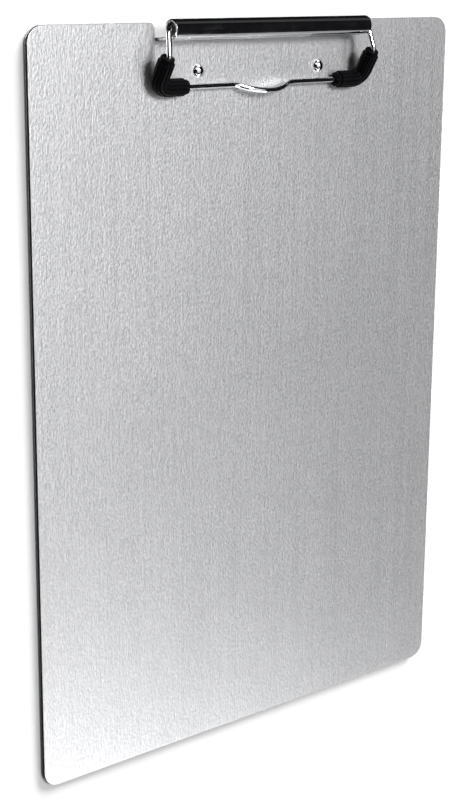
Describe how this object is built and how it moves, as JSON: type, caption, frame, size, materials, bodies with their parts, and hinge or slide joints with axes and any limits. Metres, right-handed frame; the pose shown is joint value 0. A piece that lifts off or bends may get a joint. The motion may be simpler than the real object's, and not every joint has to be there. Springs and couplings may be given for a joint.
{
  "type": "clipboard",
  "caption": "Letter-size aluminium clipboard with a wire bail clip: a sprung chrome wire with ribbed rubber corners, hinged in a rolled barrel at the top edge.",
  "frame": {"origin": "middle of the outline, on the plane of the clip base plate's back face, which the board rests on", "axes": "+X across the board, +Y up the board towards the clip, +Z out of the writing face"},
  "size_m": [0.2286, 0.3192, 0.017],
  "materials": {
    "board_aluminium": "satin, fine vertical grain",
    "board_core_black": "matte",
    "clip_chrome": "polished",
    "rivet_chrome": "polished",
    "wire_chrome": "polished",
    "grip_rubber": "matte, ribbed",
    "bush_plastic": "matte",
    "spring_steel": "oiled spring wire"
  },
  "bodies": {
    "board_and_clip": {"board_front_skin": "board_aluminium", "board_core": "board_core_black", "board_back_skin": "board_aluminium", "clip_base_plate": "clip_chrome", "rivet_left": "rivet_chrome", "rivet_right": "rivet_chrome", "barrel_bush_left": "bush_plastic", "barrel_bush_right": "bush_plastic", "torsion_spring_left": "spring_steel", "torsion_spring_right": "spring_steel"},
    "bail": {"bail_wire": "wire_chrome", "corner_grip_left": "grip_rubber", "corner_grip_right": "grip_rubber"}
  },
  "joints": [
    {"name": "bail_hinge", "type": "hinge", "parent": "board_and_clip", "child": "bail", "pos_m": [0, 0.15565, 0.0127], "axis": [-1, 0, 0], "range_deg": [0, 110], "stiffness_Nm_per_rad": 0.2, "springref_deg": -85.94, "deforming": ["torsion_spring_left", "torsion_spring_right"]}
  ]
}
